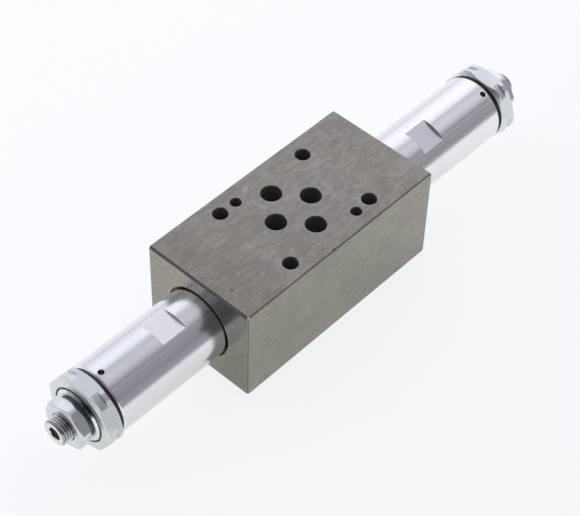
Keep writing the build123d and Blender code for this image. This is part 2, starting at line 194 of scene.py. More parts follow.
def between(tree, amount, low, high):
    """A number that runs from low to high as amount runs from 0 to 1."""
    return span(tree, amount, 0.0, 1.0, low, high)


def smooth_step(tree, value, low, high, at_low=0.0, at_high=1.0):
    """Like span, but it starts and ends gently."""
    return span(tree, value, low, high, at_low, at_high, "SMOOTHSTEP")


print("sums ready")

# %% [markdown]
# The last ones mix colours and shaders and say where on the object a point lies.


# %% Mixing helpers
def mix_colour(tree, amount, first, second):
    """Mix two colours; each may be a tuple or another node's output."""
    mix = add_node(tree, "ShaderNodeMix", data_type="RGBA")
    feed(tree, amount, mix.inputs[0])
    feed(tree, first, mix.inputs[6])
    feed(tree, second, mix.inputs[7])
    return mix.outputs[2]


def tint(tree, base, mask, colour, share, elsewhere=0.0):
    """Mix a colour into the base: by share where the mask is 1, by elsewhere where it is 0."""
    return mix_colour(tree, between(tree, mask, elsewhere, share), base, colour)


def choose(tree, amount, first, second):
    """The first shader where amount is 0, the second where it is 1."""
    chooser = add_node(tree, "ShaderNodeMixShader")
    for source, target in zip((amount, first, second), chooser.inputs):
        join(tree, source, target)
    return chooser.outputs[0]


def object_place(tree):
    return add_node(tree, "ShaderNodeTexCoord").outputs["Object"]


def object_facing(tree):
    return add_node(tree, "ShaderNodeTexCoord").outputs["Normal"]


print("mixing helpers ready")

# %% [markdown]
# ## The studio
# Bright metal has almost no colour of its own: what is seen in it is the room. The tubes in the
# photograph act like two long mirrors bent round the X axis, and read like a strip of the
# studio: a broad bright softbox behind and above, a dimmer ceiling with a thin dark seam, a dark
# room on the camera's side and a white table below. So the world is painted as a function of
# the angle about the X axis. Each row is an angle in degrees, from level behind the valve up and
# over towards the camera, and how bright the studio is there.

# %% Studio bands
studio_bands = [
    (-15, 0.66),
    (0, 0.62),
    (8, 0.80),
    (22, 0.92),
    (40, 1.05),
    (52, 0.98),
    (60, 0.82),
    (68, 0.50),
    (74, 0.60),
    (90, 0.66),
    (100, 0.58),
    (110, 0.44),
    (118, 0.24),
    (126, 0.39),
    (134, 0.27),
    (142, 0.34),
    (150, 0.26),
    (160, 0.30),
    (170, 0.35),
    (180, 0.30),
    (200, 0.30),
]
band_low, band_high = studio_bands[0][0], studio_bands[-1][0]
print("studio bands:", len(studio_bands))

# %% [markdown]
# The angle of a direction comes from its Y and Z. Towards the +X end the upper bands lean over
# by up to 15 degrees, as the softbox did. Angles below the first band are those that come round
# from under the table, so a whole turn is added to them.

# %% Angle about the valve
most_lean = radians(-15)
lean_reach = 0.36, 0.62
lean_angles = radians(25), radians(70)

world = bpy.data.worlds.new("studio")
bpy.context.scene.world = world
world.use_nodes = True
sky = world.node_tree
sky.nodes.clear()
direction = add_node(sky, "ShaderNodeTexCoord").outputs["Generated"]
towards_x, towards_y, towards_z = split(sky, direction)
level_turn = math_node(sky, "ARCTAN2", towards_z, towards_y)
lean = smooth_step(sky, towards_x, *lean_reach, 0.0, most_lean)
lean_share = smooth_step(sky, level_turn, *lean_angles)
turn = math_node(sky, "ADD", level_turn, multiply(sky, lean, lean_share))
from_below = math_node(sky, "LESS_THAN", turn, radians(band_low))
turn = math_node(sky, "ADD", turn, multiply(sky, from_below, 2 * pi))
band_place = span(sky, turn, radians(band_low), radians(band_high))
print("bands lean by up to", round(degrees(most_lean)), "degrees")

# %% [markdown]
# The brightness goes into a colour ramp. The studio's light is slightly blue, and the softbox a
# little more so than the room.

# %% Studio ramp
softbox_end = 60
softbox_blue, room_blue = 1.09, 1.07
studio_green = 1.005


def colour_ramp(tree, source, stops):
    """A ramp over (position, colour) stops, driven by a number from 0 to 1."""
    ramp = tree.nodes.new("ShaderNodeValToRGB")
    elements = ramp.color_ramp.elements
    elements[0].position, elements[0].color = stops[0][0], (*stops[0][1], 1)
    elements[1].position, elements[1].color = stops[-1][0], (*stops[-1][1], 1)
    for position, colour in stops[1:-1]:
        elements.new(position).color = (*colour, 1)
    join(tree, source, ramp.inputs[0])
    return ramp.outputs["Color"]


stops = []
for angle, level in studio_bands:
    blue = softbox_blue if angle < softbox_end else room_blue
    position = (angle - band_low) / (band_high - band_low)
    stops.append((position, (level, level * studio_green, level * blue)))
bands = colour_ramp(sky, band_place, stops)
print("ramp stops:", len(stops))

# %% [markdown]
# Along the valve the studio gets brighter towards +X, where the lamp stood, and falls dark
# beyond the -X end. The corner to the photographer's left is nearly black, which is what bevels
# turned towards it show. The camera's own rays see none of this, only a plain pale backdrop.

# %% World
far_level, lamp_level = 0.62, 1.22
unlit_reach, unlit_level = (-0.85, -0.50), 0.22
corner_reach, corner_level = (0.88, 0.97), 0.2
backdrop_white = (0.945, 0.95, 0.995)

towards_lamp = span(sky, towards_x, -1.0, 1.0, far_level, lamp_level)
lit_side = smooth_step(sky, towards_x, *unlit_reach, unlit_level, 1.0)
dark_corner = Vector((-0.86, -0.26, 0.43)).normalized()
near_corner = vector_number(sky, "DOT_PRODUCT", direction, tuple(dark_corner))
outside_corner = smooth_step(sky, near_corner, *corner_reach, 1.0, corner_level)
strength = multiply(sky, multiply(sky, towards_lamp, lit_side), outside_corner)
studio = add_node(sky, "ShaderNodeBackground")
feed(sky, bands, studio.inputs["Color"])
feed(sky, strength, studio.inputs["Strength"])
backdrop = add_node(sky, "ShaderNodeBackground", Strength=1.0)
feed(sky, backdrop_white, backdrop.inputs["Color"])
is_camera = add_node(sky, "ShaderNodeLightPath").outputs["Is Camera Ray"]
seen = choose(sky, is_camera, studio.outputs[0], backdrop.outputs[0])
join(sky, seen, add_node(sky, "ShaderNodeOutputWorld").inputs["Surface"])
bpy.context.scene.view_settings.view_transform = "Standard"
print("world ready:", world.name)

# %% [markdown]
# ## Floor
# The valve lies on a white table under so much soft light that its shadow almost burns out. A
# diffuse floor alone would come out grey, so for the camera's own rays most of it is a plain
# glow, slightly brighter towards the back.

# %% Floor sheet
floor_reach = 4.0
floor_height = -0.00005
floor_corners = [(-1, -1), (1, -1), (1, 1), (-1, 1)]

floor_mesh = bpy.data.meshes.new("floor")
floor_points = [(floor_reach * x, floor_reach * y, floor_height) for x, y in floor_corners]
floor_mesh.from_pydata(floor_points, [], [(0, 1, 2, 3)])
floor_piece = add_object("floor", floor_mesh)
floor_piece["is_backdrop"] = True
print("floor is", 2 * floor_reach, "m wide")

# %% [markdown]
# What the metal mirrors is a table that glows less, so it keeps more of its shadow, and whose
# glow stops at the table's front edge. That draws the sharp lower border of the tubes' dark
# band. Every other ray sees an ordinary white table, which lights the valve from below.


# %% Table paint
def paint(tree, white):
    diffuse = add_node(tree, "ShaderNodeBsdfDiffuse")
    feed(tree, (white, white, white), diffuse.inputs["Color"])
    return diffuse.outputs[0]


def glowing_paint(tree, white, glow_colour):
    """A diffuse white plus a glow; the glow's colour is a tuple or another node's output."""
    glow = add_node(tree, "ShaderNodeEmission", Strength=1.0)
    feed(tree, glow_colour, glow.inputs["Color"])
    both = add_node(tree, "ShaderNodeAddShader")
    join(tree, paint(tree, white), both.inputs[0])
    join(tree, glow.outputs[0], both.inputs[1])
    return both.outputs[0]


table_paint, mirrored_paint, seen_paint = 0.86, 0.70, 0.24
front_glow, back_glow = (0.798, 0.798, 0.800), (0.842, 0.850, 0.885)
mirrored_glow = (0.560, 0.568, 0.552)
front_edge, glow_starts, glow_full = -0.34, -0.20, 0.16

table_white = bpy.data.materials.new("table_white")
table_white.use_nodes = True
tree = table_white.node_tree
tree.nodes.clear()
table_y = split(tree, object_place(tree))[1]
seen_glow = mix_colour(tree, smooth_step(tree, table_y, glow_starts, glow_full), front_glow, back_glow)
on_table = smooth_step(tree, table_y, front_edge, glow_starts)
light_path = add_node(tree, "ShaderNodeLightPath")
mirrored = multiply(tree, light_path.outputs["Is Glossy Ray"], on_table)
mirrored_table = glowing_paint(tree, mirrored_paint, mirrored_glow)
unseen = choose(tree, mirrored, paint(tree, table_paint), mirrored_table)
seen_table = glowing_paint(tree, seen_paint, seen_glow)
floor_look = choose(tree, light_path.outputs["Is Camera Ray"], unseen, seen_table)
join(tree, floor_look, add_node(tree, "ShaderNodeOutputMaterial").inputs["Surface"])
floor_mesh.materials.append(table_white)
print("floor finish:", table_white.name)

# %% [markdown]
# ## Shared effects
# The same few effects of making and wear come back in every finish: cloudy stains, hairline
# scratches, lathe lines, pits and rubbed edges. Each is a node group with named inputs, built
# once here, and each gives out only a mask, a value or a normal.


# %% Group helpers
def start_group(name, inputs, outputs):
    """A new shader group with (name, kind, default) inputs and (name, kind) outputs."""
    group = bpy.data.node_groups.new(name, "ShaderNodeTree")
    for title, kind, default in inputs:
        socket = group.interface.new_socket(title, in_out="INPUT", socket_type="NodeSocket" + kind)
        if default is not None:
            socket.default_value = default
    for title, kind in outputs:
        group.interface.new_socket(title, in_out="OUTPUT", socket_type="NodeSocket" + kind)
    return group, group.nodes.new("NodeGroupInput"), group.nodes.new("NodeGroupOutput")


def use_group(tree, group, vector=None, **values):
    """Place a group in a tree and set its numbers."""
    placed = tree.nodes.new("ShaderNodeGroup")
    placed.node_tree = group
    if vector is not None:
        join(tree, vector, placed.inputs["Vector"])
    for name, value in values.items():
        feed(tree, value, placed.inputs[name.replace("_", " ")])
    return placed


def mask_from(tree, group, vector, **values):
    """Place a group and take its mask."""
    return use_group(tree, group, vector, **values).outputs["Mask"]


print("group helpers ready")

# %% [markdown]
# ### Clouding
# Oil, fingers and uneven etching leave soft clouds on metal. A few octaves of noise, cut
# between two levels, give a mask that tints the colour or dulls the gloss.

# %% Clouding group
clouding, inside, outside = start_group(
    "clouding",
    [
        ("Vector", "Vector", None),
        ("Scale", "Float", 60.0),
        ("Detail", "Float", 4.0),
        ("Low", "Float", 0.35),
        ("High", "Float", 0.65),
    ],
    [("Mask", "Float")],
)
clouds = add_node(clouding, "ShaderNodeTexNoise", noise_dimensions="3D")
for title in ("Vector", "Scale", "Detail"):
    join(clouding, inside.outputs[title], clouds.inputs[title])
mask = smooth_step(clouding, clouds.outputs["Fac"], inside.outputs["Low"], inside.outputs["High"])
join(clouding, mask, outside.inputs["Mask"])
print("group:", clouding.name)

# %% [markdown]
# ### Hairlines
# A scratch is long and thin. Where a stretched noise crosses its middle value it draws such
# long lines, so the mask is one where the noise is within a small width of one half, and a
# second noise breaks the lines into strokes.

# %% Hairlines group
noise_middle = 0.5
break_levels = 0.5, 0.62
hairlines, inside, outside = start_group(
    "hairlines",
    [("Vector", "Vector", None), ("Scale", "Float", 200.0), ("Width", "Float", 0.01)],
    [("Mask", "Float")],
)
strands = add_node(hairlines, "ShaderNodeTexNoise", noise_dimensions="3D", Detail=2.0)
for title in ("Vector", "Scale"):
    join(hairlines, inside.outputs[title], strands.inputs[title])
off_middle = math_node(hairlines, "SUBTRACT", strands.outputs["Fac"], noise_middle)
nearness = math_node(hairlines, "ABSOLUTE", off_middle)
line = span(hairlines, nearness, 0.0, inside.outputs["Width"], 1.0, 0.0)
breaks = add_node(hairlines, "ShaderNodeTexNoise", noise_dimensions="3D", Scale=230.0, Detail=2.0)
join(hairlines, inside.outputs["Vector"], breaks.inputs["Vector"])
kept = smooth_step(hairlines, breaks.outputs["Fac"], *break_levels)
join(hairlines, multiply(hairlines, line, kept), outside.inputs["Mask"])
print("group:", hairlines.name)

# %% [markdown]
# ### Pits
# Rolled and ground steel keeps a few small pits. Cells of a Voronoi texture give each one a
# centre, and each cell's random colour decides whether it has a pit and how large.

# %% Pits group
pit_sharpness = 14.0
pits, inside, outside = start_group(
    "pits",
    [("Vector", "Vector", None), ("Scale", "Float", 300.0), ("Share", "Float", 0.3), ("Size", "Float", 0.2)],
    [("Mask", "Float")],
)
cells = add_node(pits, "ShaderNodeTexVoronoi", voronoi_dimensions="3D", feature="F1")
for title in ("Vector", "Scale"):
    join(pits, inside.outputs[title], cells.inputs[title])
chance = add_node(pits, "ShaderNodeSeparateColor")
join(pits, cells.outputs["Color"], chance.inputs[0])
has_pit = math_node(pits, "LESS_THAN", chance.outputs[0], inside.outputs["Share"])
pit_size = multiply(pits, chance.outputs[1], inside.outputs["Size"])
depth = math_node(pits, "SUBTRACT", pit_size, cells.outputs["Distance"])
soft_edge = math_node(pits, "MULTIPLY", depth, pit_sharpness, clamp=True)
join(pits, multiply(pits, soft_edge, has_pit), outside.inputs["Mask"])
print("group:", pits.name)

# %% [markdown]
# ### Rubbed edges
# Corners are rubbed bright and are never quite sharp. The Bevel node gives the normal that a
# rounded corner would have: it serves as the shading normal, and where it leans away from the
# face's own normal there is an edge, which makes the mask.

# %% Edge wear group
edge_wear, inside, outside = start_group(
    "edge_wear",
    [("Radius", "Float", 0.0003), ("Low", "Float", 0.02), ("High", "Float", 0.2)],
    [("Mask", "Float"), ("Normal", "Vector")],
)
rounded = add_node(edge_wear, "ShaderNodeBevel", samples=6)
join(edge_wear, inside.outputs["Radius"], rounded.inputs["Radius"])
face_normal = add_node(edge_wear, "ShaderNodeNewGeometry").outputs["Normal"]
agreement = vector_number(edge_wear, "DOT_PRODUCT", rounded.outputs["Normal"], face_normal)
leaning = math_node(edge_wear, "SUBTRACT", 1.0, agreement)
mask = smooth_step(edge_wear, leaning, inside.outputs["Low"], inside.outputs["High"])
join(edge_wear, mask, outside.inputs["Mask"])
join(edge_wear, rounded.outputs["Normal"], outside.inputs["Normal"])
print("group:", edge_wear.name)

# %% [markdown]
# ### Place on a turned piece
# Turned pieces share one axis, 20 mm above the floor and along X. This group turns an object
# position into the distance along that axis, the radius and the angle, which lathe lines and
# radial masks are drawn from.

# %% Turned place group
axis_height = 0.020
turned_place, inside, outside = start_group(
    "turned_place",
    [],
    [("Along", "Float"), ("Radius", "Float"), ("Angle", "Float")],
)
along, sideways, upwards = split(turned_place, object_place(turned_place))
height = math_node(turned_place, "SUBTRACT", upwards, axis_height)
square_y = multiply(turned_place, sideways, sideways)
square_z = multiply(turned_place, height, height)
radius = math_node(turned_place, "SQRT", math_node(turned_place, "ADD", square_y, square_z))
join(turned_place, along, outside.inputs["Along"])
join(turned_place, radius, outside.inputs["Radius"])
join(turned_place, math_node(turned_place, "ARCTAN2", height, sideways), outside.inputs["Angle"])
print("group:", turned_place.name)

# %% [markdown]
# ### Lathe lines
# A turning tool leaves a groove at every step of its feed. One-dimensional noise along the
# feed direction gives lines of uneven depth, as a height for the Bump node.

# %% Lathe lines group
lathe_lines, inside, outside = start_group(
    "lathe_lines",
    [("Feed", "Float", 0.0), ("Density", "Float", 9000.0), ("Detail", "Float", 2.0)],
    [("Height", "Float")],
)
grooves = add_node(lathe_lines, "ShaderNodeTexNoise", noise_dimensions="1D", Scale=1.0)
line_number = multiply(lathe_lines, inside.outputs["Feed"], inside.outputs["Density"])
join(lathe_lines, line_number, grooves.inputs["W"])
join(lathe_lines, inside.outputs["Detail"], grooves.inputs["Detail"])
join(lathe_lines, grooves.outputs["Fac"], outside.inputs["Height"])
print("group:", lathe_lines.name)

# %% [markdown]
# ## Starting a finish
# Every finish starts the same way: a new material with one Principled shader. Numbers that are
# the same all over the piece are set on the shader itself.


# %% Material helpers
def start_material(name, colour, **sockets):
    """A material with one Principled shader; colour and other constants go on its sockets."""
    material = bpy.data.materials.new(name)
    material.use_nodes = True
    tree = material.node_tree
    tree.nodes.clear()
    shader = tree.nodes.new("ShaderNodeBsdfPrincipled")
    feed(tree, colour, shader.inputs["Base Color"])
    for title, value in sockets.items():
        shader.inputs[title.replace("_", " ")].default_value = value
    output = tree.nodes.new("ShaderNodeOutputMaterial")
    join(tree, shader.outputs[0], output.inputs["Surface"])
    return material, tree, shader


def bump_from(tree, height, strength, distance, normal=None):
    bump = add_node(tree, "ShaderNodeBump", Strength=strength, Distance=distance)
    join(tree, height, bump.inputs["Height"])
    if normal is not None:
        join(tree, normal, bump.inputs["Normal"])
    return bump.outputs["Normal"]


def stretched(tree, vector, scale, turn=(0, 0, 0)):
    """The same place, squeezed or stretched along its axes and turned."""
    mapping = add_node(tree, "ShaderNodeMapping")
    feed(tree, scale, mapping.inputs["Scale"])
    feed(tree, turn, mapping.inputs["Rotation"])
    join(tree, vector, mapping.inputs["Vector"])
    return mapping.outputs["Vector"]


print("material helpers ready")

# %% [markdown]
# ## The block
# The block is dull: its top is ground, a warm grey-brown, with pale rubbed patches and faint
# arcs turned round one port. Its sides are lighter and mottled, with a few dark pits. One
# material does both, and tells them apart by the direction of the face.

# %% Block steel
top_facing = 0.55, 0.85
block_steel, tree, shader = start_material("block_steel", (0.3, 0.29, 0.27), Metallic=0.85)
place = object_place(tree)
place_x, place_y, place_z = split(tree, place)
facing_x, facing_y, facing_z = split(tree, object_facing(tree))
upright = math_node(tree, "ABSOLUTE", facing_z)
on_top = smooth_step(tree, upright, *top_facing)
flattened = add_node(tree, "ShaderNodeCombineXYZ")
join(tree, place_x, flattened.inputs["X"])
join(tree, place_y, flattened.inputs["Y"])
flat_place = flattened.outputs[0]
print("block material started:", block_steel.name)

# %% [markdown]
# The holes are darker inside, and each has a rim of clean metal where it was deburred. Both masks
# come from the distance to the nearest hole's wall, which is the least of ten distances from
# the hole axes, each less its radius: four ports, four bolt holes and two pin holes.

# %% Distance to the holes
port_radius, bolt_radius, pin_radius = 0.00375, 0.00275, 0.0020
worn_port = (0.0088, 0.0)
hole_sizes = [
    (0.0, 0.0104, port_radius),
    (0.0, -0.0104, port_radius),
    (*worn_port, port_radius),
    (-0.0087, 0.0, port_radius),
    (0.0215, -0.0155, bolt_radius),
    (-0.019, -0.01625, bolt_radius),
    (-0.019, 0.01625, bolt_radius),
    (0.0215, 0.0155, bolt_radius),
    (-0.0115, 0.01625, pin_radius),
    (0.014, -0.01625, pin_radius),
]
wall_tolerance = 0.00003
rim_reach = 0.0006, 0.0001
rim_height = 0.03978

to_wall = None
for hole_x, hole_y, hole_radius in hole_sizes:
    to_axis = vector_number(tree, "DISTANCE", flat_place, (hole_x, hole_y, 0.0))
    this_wall = math_node(tree, "SUBTRACT", to_axis, hole_radius)
    to_wall = this_wall if to_wall is None else math_node(tree, "MINIMUM", to_wall, this_wall)
on_wall = math_node(tree, "LESS_THAN", to_wall, wall_tolerance)
below_rim = math_node(tree, "LESS_THAN", place_z, rim_height)
in_hole = multiply(tree, on_wall, below_rim)
rim = smooth_step(tree, to_wall, *rim_reach)
print("holes in the mask:", len(hole_sizes))

# %% [markdown]
# Steel that looks plain from afar has many tones when seen close. They are listed once: the
# base colours, then each effect's colour and its share where its mask is one. Grain and mottle
# have a third number, their share where the mask is nought, because they fill its gaps.

# %% Block tones
top_colour, side_colour = (0.330, 0.307, 0.272), (0.394, 0.366, 0.322)
top_calm, side_calm = (0.305, 0.284, 0.254), (0.335, 0.317, 0.283)
# The upright edges' light and dark tones are painted light and painted shade.
upright_painted_light, upright_painted_shade = (0.42, 0.405, 0.38), (0.10, 0.095, 0.085)
scratch_white = (0.62, 0.60, 0.57)
hole_wall_dark = (0.16, 0.165, 0.13)
# a flat white painted highlight on one top corner
corner_highlight_white = (0.95, 0.94, 0.92)
tone = {
    "cloud": ((0.19, 0.172, 0.158), 0.38),
    "warm": ((0.33, 0.272, 0.245), 0.35),
    "grain": ((0.12, 0.11, 0.10), 0.0, 0.30),
    "rubbed": ((0.50, 0.475, 0.45), 0.36),
    "arc": ((0.44, 0.42, 0.41), 0.38),
    "smear": ((0.60, 0.58, 0.56), 0.45),
    # painted shade on the end face by the near corner
    "end_shade": ((0.150, 0.136, 0.116), 0.42),
    # the top darker towards the -X end
    "darker_top_end": ((0.190, 0.165, 0.145), 0.25),
    "pit": ((0.06, 0.055, 0.05), 0.8),
    "speck": ((0.09, 0.08, 0.07), 0.6),
    "mottle": ((0.15, 0.14, 0.125), 0.0, 0.16),
    "rim": ((0.47, 0.46, 0.44), 0.6),
    # painted shade on the broken edges
    "break_shade": ((0.13, 0.12, 0.11), 0.45),
    "worn_edge": ((0.6, 0.58, 0.56), 0.5),
}
print("effects on the block:", len(tone))

# %% [markdown]
# First the broad effects: clouding, warm stains on the top, a fine grain along the grinding
# direction, and pale patches.

# %% Clouds and grain
steel = mix_colour(tree, on_top, side_colour, top_colour)
broad = mask_from(tree, clouding, place, Scale=55.0, Detail=5.0, Low=0.32, High=0.68)
steel = tint(tree, steel, broad, *tone["cloud"])
stain_place = stretched(tree, place, (1.0, 1.0, 1.0), (0, 0, 1.1))
warm = mask_from(tree, clouding, stain_place, Scale=90.0, Detail=3.0, Low=0.5, High=0.72)
steel = tint(tree, steel, multiply(tree, warm, on_top), *tone["warm"])
grain_place = stretched(tree, place, (0.35, 1.3, 1.0), (0, 0, 0.65))
fine = mask_from(tree, clouding, grain_place, Scale=560.0, Detail=6.0, Low=0.34, High=0.68)
steel = tint(tree, steel, fine, *tone["grain"])
pale = mask_from(tree, clouding, place, Scale=260.0, Detail=6.0, Low=0.52, High=0.78)
steel = tint(tree, steel, pale, *tone["rubbed"])
print("clouds and grain mixed")

# %% [markdown]
# Then what use has left on the top: arcs turned round one port, which are lathe lines drawn from
# the distance to its axis, and pale strokes, closest in a streak beside the left pin hole.

# %% Arcs and scratches
arc_reach, arc_levels = (0.022, 0.006), (0.50, 0.66)
streak_stretch = 0.16
streak_x, streak_y = -0.0058, 0.0125
streak_reach = 0.0024, 0.0008
scratch_share, streak_share = 0.22, 0.6

from_port = vector_number(tree, "DISTANCE", flat_place, (*worn_port, 0.0))
arcs = use_group(tree, lathe_lines, Feed=from_port, Density=1900.0, Detail=3.0)
near_port = smooth_step(tree, from_port, *arc_reach)
arc_mask = multiply(tree, smooth_step(tree, arcs.outputs["Height"], *arc_levels), near_port)
steel = tint(tree, steel, multiply(tree, arc_mask, on_top), *tone["arc"])
scratch_place = stretched(tree, place, (1.0, 0.34, 1.0), (0, 0, 0.12))
scratches = mask_from(tree, hairlines, scratch_place, Scale=300.0, Width=0.018)
streak_place = stretched(tree, flat_place, (1.0, streak_stretch, 1.0))
streak_middle = (streak_x, streak_stretch * streak_y, 0.0)
from_streak = vector_number(tree, "DISTANCE", streak_place, streak_middle)
on_streak = smooth_step(tree, from_streak, *streak_reach)
scratched = math_node(tree, "ADD", scratch_share, multiply(tree, on_streak, streak_share))
steel = mix_colour(tree, multiply(tree, scratches, scratched), steel, scratch_white)
smear = multiply(tree, multiply(tree, on_streak, pale), on_top)
steel = tint(tree, steel, smear, *tone["smear"])
print("arcs and scratches mixed")

# %% [markdown]
# A calm tone then takes some of the contrast back. The end face by the near corner is darkened with
# painted shade, the top is darker towards that end, and dark pits, specks and a fine mottle come last.

# %% Oil and pits
top_calm_share, side_calm_share = 0.18, 0.45
end_facing = -0.85, -0.95
end_shade_reach = -0.004, -0.016
darker_top_reach = -0.026, -0.042

calm = mix_colour(tree, on_top, side_calm, top_calm)
steel = tint(tree, steel, on_top, calm, top_calm_share, side_calm_share)
# The end face by the near corner is darkened with painted shade.
at_end = smooth_step(tree, facing_x, *end_facing)
by_near_corner = smooth_step(tree, place_y, *end_shade_reach)
steel = tint(tree, steel, multiply(tree, at_end, by_near_corner), *tone["end_shade"])
# The top is darker towards the -X end.
darker_top_end = smooth_step(tree, place_x, *darker_top_reach)
steel = tint(tree, steel, multiply(tree, darker_top_end, on_top), *tone["darker_top_end"])
dark_pits = mask_from(tree, pits, place, Scale=190.0, Share=0.30, Size=0.15)
steel = tint(tree, steel, dark_pits, *tone["pit"])
speck_place = stretched(tree, place, (1, 1, 1), (0.3, 0.2, 0.7))
specks = mask_from(tree, pits, speck_place, Scale=430.0, Share=0.13, Size=0.13)
steel = tint(tree, steel, specks, *tone["speck"])
mottle = mask_from(tree, clouding, place, Scale=900.0, Detail=3.0, Low=0.35, High=0.65)
steel = tint(tree, steel, mottle, *tone["mottle"])
print("oil, pits and mottle mixed")

# %% [markdown]
# The edges and holes go over all of that. The broken edges are darkened with painted shade, apart
# from their rims, which are rubbed bright. The upright ones get painted light on their end side and
# painted shade on their long side, and one top corner has a painted highlight, which isn't metal
# but a flat white, as it looks in the photograph.

# %% Block edges and holes
break_facing = 0.25, 0.55
upright_facing, upright_share = (0.30, 0.42), 0.8
long_side_reach = 0.02268, 0.02274
corner_highlight_place = (-0.0460, -0.0228, 0.0398)
corner_highlight_reach = 0.0007, 0.0005

steel = tint(tree, steel, multiply(tree, rim, on_top), *tone["rim"])
# The broken edges below are darkened with painted shade.
slope_up = smooth_step(tree, upright, *break_facing)
on_break = multiply(tree, slope_up, math_node(tree, "SUBTRACT", 1.0, on_top))
steel = tint(tree, steel, on_break, *tone["break_shade"])
# The upright edges get painted light on the end side and painted shade on the long side.
between_sides = math_node(tree, "ABSOLUTE", multiply(tree, facing_x, facing_y))
on_upright = smooth_step(tree, between_sides, *upright_facing)
across = math_node(tree, "ABSOLUTE", place_y)
by_long_side = smooth_step(tree, across, *long_side_reach)
upright_light_and_shade = mix_colour(tree, by_long_side, upright_painted_light, upright_painted_shade)
steel = tint(tree, steel, on_upright, upright_light_and_shade, upright_share)
edges = use_group(tree, edge_wear, Radius=0.00030, Low=0.10, High=0.30)
steel = tint(tree, steel, edges.outputs["Mask"], *tone["worn_edge"])
steel = mix_colour(tree, in_hole, steel, hole_wall_dark)
# A flat white painted highlight on one top corner, not metal.
from_corner_highlight = vector_number(tree, "DISTANCE", place, corner_highlight_place)
on_corner_highlight = smooth_step(tree, from_corner_highlight, *corner_highlight_reach)
steel = mix_colour(tree, on_corner_highlight, steel, corner_highlight_white)
join(tree, steel, shader.inputs["Base Color"])
print("block colours ready")

# %% [markdown]
# The same masks drive the gloss and the relief. The hole walls and the painted corner highlight
# aren't metallic, the sides are glossier than the ground top, and the pits are deeper than the grain.

# %% Block gloss and relief
bare_metal = 0.92
grain_dullness = 0.37, 0.27
side_gloss = 0.58
pit_depth = 3.0
relief_strength, relief_depth = 0.35, 0.000022

not_bare = math_node(tree, "MAXIMUM", in_hole, on_corner_highlight)
join(tree, between(tree, not_bare, bare_metal, 0.0), shader.inputs["Metallic"])
dullness = between(tree, fine, *grain_dullness)
join(tree, multiply(tree, dullness, between(tree, on_top, side_gloss, 1.0)), shader.inputs["Roughness"])
relief = math_node(tree, "SUBTRACT", fine, multiply(tree, dark_pits, pit_depth))
block_relief = bump_from(tree, relief, relief_strength, relief_depth, edges.outputs["Normal"])
join(tree, block_relief, shader.inputs["Normal"])
print("block steel ready")

# %% [markdown]
# ## Plated tubes
# The tubes are turned, then zinc plated to a bright satin mirror. Turning grooves run round the
# tube, so they smear a reflection lengthwise and hardly at all across: an anisotropic gloss,
# measured from a tangent round the X axis and turned a quarter. Faint lathe lines and soft
# clouds in the gloss keep it from looking like glass.

# %% Plated tube
zinc_bright, zinc_stained, zinc_lit = (0.81, 0.82, 0.85), (0.74, 0.75, 0.79), (0.99, 0.99, 1.0)
stain_share, lit_share = 0.25, 0.30
lit_reach = -0.05, 0.09

plated_tube, tree, shader = start_material(
    "plated_tube", (0.80, 0.81, 0.84), Metallic=1.0, Anisotropic=0.5, Anisotropic_Rotation=0.25
)
place = object_place(tree)
turned = use_group(tree, turned_place)
lines = use_group(tree, lathe_lines, Feed=turned.outputs["Along"], Density=5200.0, Detail=3.0)
stains = mask_from(tree, clouding, place, Scale=70.0, Detail=4.0, Low=0.35, High=0.7)
plate = tint(tree, zinc_bright, stains, zinc_stained, stain_share)
lamp_end = smooth_step(tree, turned.outputs["Along"], *lit_reach)
plate = tint(tree, plate, lamp_end, zinc_lit, lit_share)
round_axis = add_node(tree, "ShaderNodeTangent", direction_type="RADIAL", axis="X")
join(tree, round_axis.outputs[0], shader.inputs["Tangent"])
print("tube material started:", plated_tube.name)

# %% [markdown]
# The two spanner flats are milled and lie a little inside the tube's round, so a mask of the
# radius finds them. Milling leaves them duller than the turned round. Their colour is painted light
# and shade, pale on the -X tube and greyer on the +X tube, and the small wall that steps up from
# each end of a flat is darkened with painted shade.

# %% Spanner flats
round_from, bore_to = 0.01320, 0.01205
# The flats' two tones are painted light and shade, pale at -X and greyer at +X.
flat_light_and_shade = (0.95, 0.955, 0.985), (0.74, 0.75, 0.80)
grain_tone, grain_share = (0.4, 0.4, 0.42), 0.05
# The step walls' dark tone is painted shade.
step_facing, step_shade_tone, step_share = (0.8, 0.95), (0.30, 0.31, 0.33), 0.8

inside_round = math_node(tree, "LESS_THAN", turned.outputs["Radius"], round_from)
outside_bore = math_node(tree, "GREATER_THAN", turned.outputs["Radius"], bore_to)
on_flat = multiply(tree, inside_round, outside_bore)
flat_grain = mask_from(tree, clouding, place, Scale=1500.0, Detail=3.0, Low=0.3, High=0.7)
# Painted light and shade: pale flats on the -X tube, greyer ones on the +X tube.
painted_flat_tone = mix_colour(tree, lamp_end, *flat_light_and_shade)
painted_flat_tone = tint(tree, painted_flat_tone, flat_grain, grain_tone, 0.0, elsewhere=grain_share)
plate = mix_colour(tree, on_flat, plate, painted_flat_tone)
# The step walls at the flats' ends are darkened with painted shade.
endways = math_node(tree, "ABSOLUTE", split(tree, object_facing(tree))[0])
on_step = multiply(tree, smooth_step(tree, endways, *step_facing), on_flat)
plate = tint(tree, plate, on_step, step_shade_tone, step_share)
print("spanner flats ready")

# %% [markdown]
# Last come the rubbed edges, the gloss and the lathe lines.

# %% Tube gloss
rubbed_zinc, rubbed_share = (0.93, 0.94, 0.96), 0.6
tube_dullness, line_dullness, flat_dullness = (0.16, 0.22), (-0.02, 0.02), 0.1
tube_relief_strength = 0.12
line_depth = 0.000006

